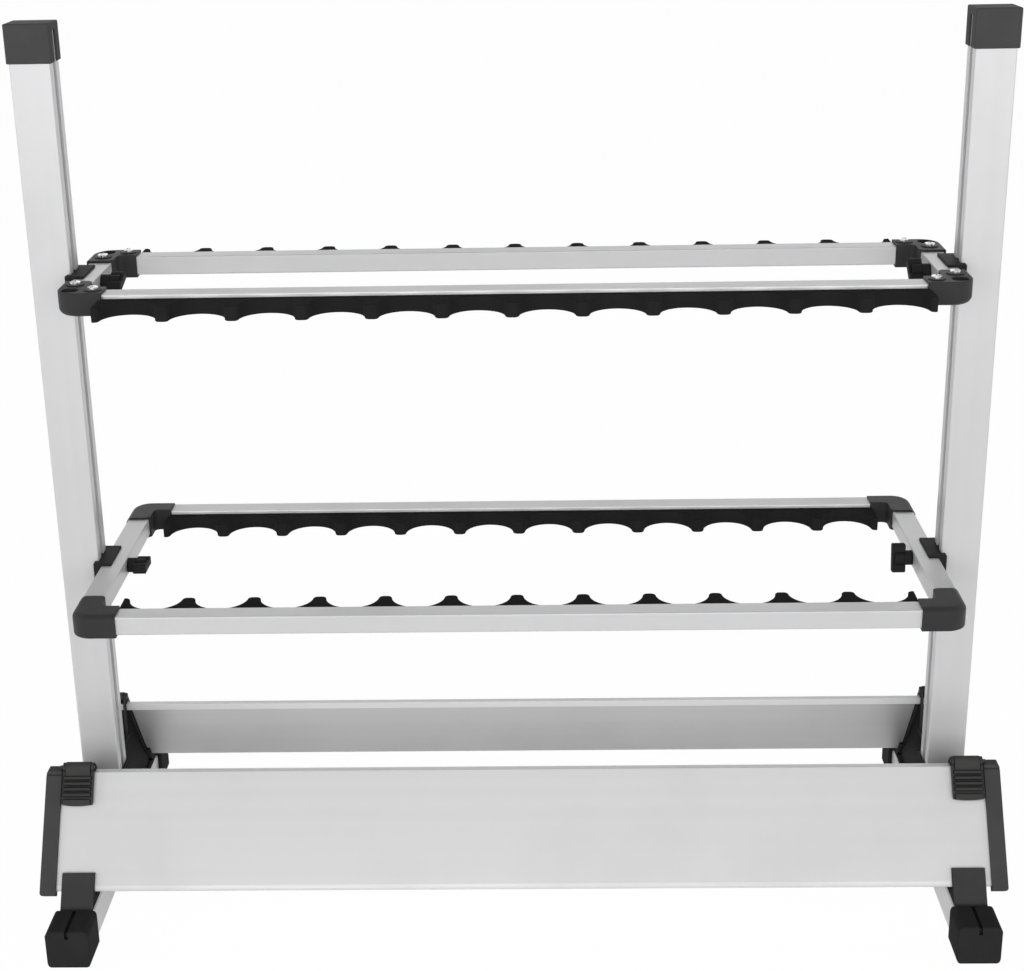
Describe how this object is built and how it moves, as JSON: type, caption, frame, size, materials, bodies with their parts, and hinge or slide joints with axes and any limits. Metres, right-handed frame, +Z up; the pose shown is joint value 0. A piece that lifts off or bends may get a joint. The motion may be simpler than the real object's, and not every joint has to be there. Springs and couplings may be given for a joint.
{
  "type": "rod rack",
  "caption": "Free-standing fishing rod rack: two slotted uprights on foot bars, two sliding notched rod frames, and two sloping panels at the base.",
  "frame": {"origin": "middle of the rack on the floor, at the bottom centre of its bounding box", "axes": "+X along the rails to the right, +Y to the rear, +Z up the uprights"},
  "size_m": [0.729, 0.3092, 0.6702],
  "materials": {
    "aluminium": "satin anodised extrusion",
    "panel_aluminium": "satin anodised sheet",
    "black_plastic": "fine-grained injection moulding",
    "foot_plastic": "matt rubbery moulding",
    "strip_rubber": "matt dense foam rubber",
    "bright_steel": "bright zinc plated"
  },
  "bodies": {
    "base": {"left_upright": "aluminium", "left_upright_cap": "black_plastic", "left_side_bracket": "black_plastic", "left_foot_bar": "aluminium", "right_upright": "aluminium", "right_upright_cap": "black_plastic", "right_side_bracket": "black_plastic", "right_foot_bar": "aluminium", "front_left_foot": "foot_plastic", "front_left_end_cap": "black_plastic", "front_right_foot": "foot_plastic", "front_right_end_cap": "black_plastic", "front_panel": "panel_aluminium", "rear_left_foot": "foot_plastic", "rear_left_end_cap": "black_plastic", "rear_right_foot": "foot_plastic", "rear_right_end_cap": "black_plastic", "rear_panel": "panel_aluminium", "bracket_screws": "bright_steel", "latch_pins": "bright_steel"},
    "upper_frame": {"upper_front_rail": "aluminium", "upper_front_strip": "strip_rubber", "upper_front_left_corner": "black_plastic", "upper_front_right_corner": "black_plastic", "upper_rear_rail": "aluminium", "upper_rear_strip": "strip_rubber", "upper_rear_left_corner": "black_plastic", "upper_rear_right_corner": "black_plastic", "upper_left_end_tube": "aluminium", "upper_left_clamp": "black_plastic", "upper_right_end_tube": "aluminium", "upper_right_clamp": "black_plastic", "upper_corner_screws": "bright_steel", "upper_t_nuts": "bright_steel"},
    "upper_left_knob": {"upper_left_knob": "black_plastic", "upper_left_bolt": "bright_steel"},
    "upper_right_knob": {"upper_right_knob": "black_plastic", "upper_right_bolt": "bright_steel"},
    "lower_frame": {"lower_front_rail": "aluminium", "lower_front_strip": "strip_rubber", "lower_front_left_corner": "black_plastic", "lower_front_right_corner": "black_plastic", "lower_rear_rail": "aluminium", "lower_rear_strip": "strip_rubber", "lower_rear_left_corner": "black_plastic", "lower_rear_right_corner": "black_plastic", "lower_left_end_tube": "aluminium", "lower_left_clamp": "black_plastic", "lower_right_end_tube": "aluminium", "lower_right_clamp": "black_plastic", "lower_corner_screws": "bright_steel", "lower_t_nuts": "bright_steel"},
    "lower_left_knob": {"lower_left_knob": "black_plastic", "lower_left_bolt": "bright_steel"},
    "lower_right_knob": {"lower_right_knob": "black_plastic", "lower_right_bolt": "bright_steel"},
    "front_left_latch": {"front_left_latch": "black_plastic"},
    "front_right_latch": {"front_right_latch": "black_plastic"},
    "rear_left_latch": {"rear_left_latch": "black_plastic"},
    "rear_right_latch": {"rear_right_latch": "black_plastic"}
  },
  "joints": [
    {"name": "upper_frame_slide", "type": "slide", "parent": "base", "child": "upper_frame", "axis": [0, 0, 1], "range_m": [-0.09, 0.14]},
    {"name": "lower_frame_slide", "type": "slide", "parent": "base", "child": "lower_frame", "axis": [0, 0, 1], "range_m": [-0.12, 0.085]},
    {"name": "upper_left_knob_turn", "type": "hinge", "parent": "upper_frame", "child": "upper_left_knob", "pos_m": [-0.3, 0, 0.4836], "axis": [1, 0, 0], "range_deg": [0, 450]},
    {"name": "upper_right_knob_turn", "type": "hinge", "parent": "upper_frame", "child": "upper_right_knob", "pos_m": [0.3, 0, 0.4836], "axis": [-1, 0, 0], "range_deg": [0, 450]},
    {"name": "lower_left_knob_turn", "type": "hinge", "parent": "lower_frame", "child": "lower_left_knob", "pos_m": [-0.3, 0, 0.2597], "axis": [1, 0, 0], "range_deg": [0, 450]},
    {"name": "lower_right_knob_turn", "type": "hinge", "parent": "lower_frame", "child": "lower_right_knob", "pos_m": [0.3, 0, 0.2597], "axis": [-1, 0, 0], "range_deg": [0, 450]},
    {"name": "front_left_latch_swing", "type": "hinge", "parent": "base", "child": "front_left_latch", "pos_m": [-0.34, -0.06, 0.11668], "axis": [-1, 0, 0], "range_deg": [0, 40]},
    {"name": "front_right_latch_swing", "type": "hinge", "parent": "base", "child": "front_right_latch", "pos_m": [0.34, -0.06, 0.11668], "axis": [-1, 0, 0], "range_deg": [0, 40]},
    {"name": "rear_left_latch_swing", "type": "hinge", "parent": "base", "child": "rear_left_latch", "pos_m": [-0.34, 0.06, 0.11668], "axis": [1, 0, 0], "range_deg": [0, 40]},
    {"name": "rear_right_latch_swing", "type": "hinge", "parent": "base", "child": "rear_right_latch", "pos_m": [0.34, 0.06, 0.11668], "axis": [1, 0, 0], "range_deg": [0, 40]}
  ]
}
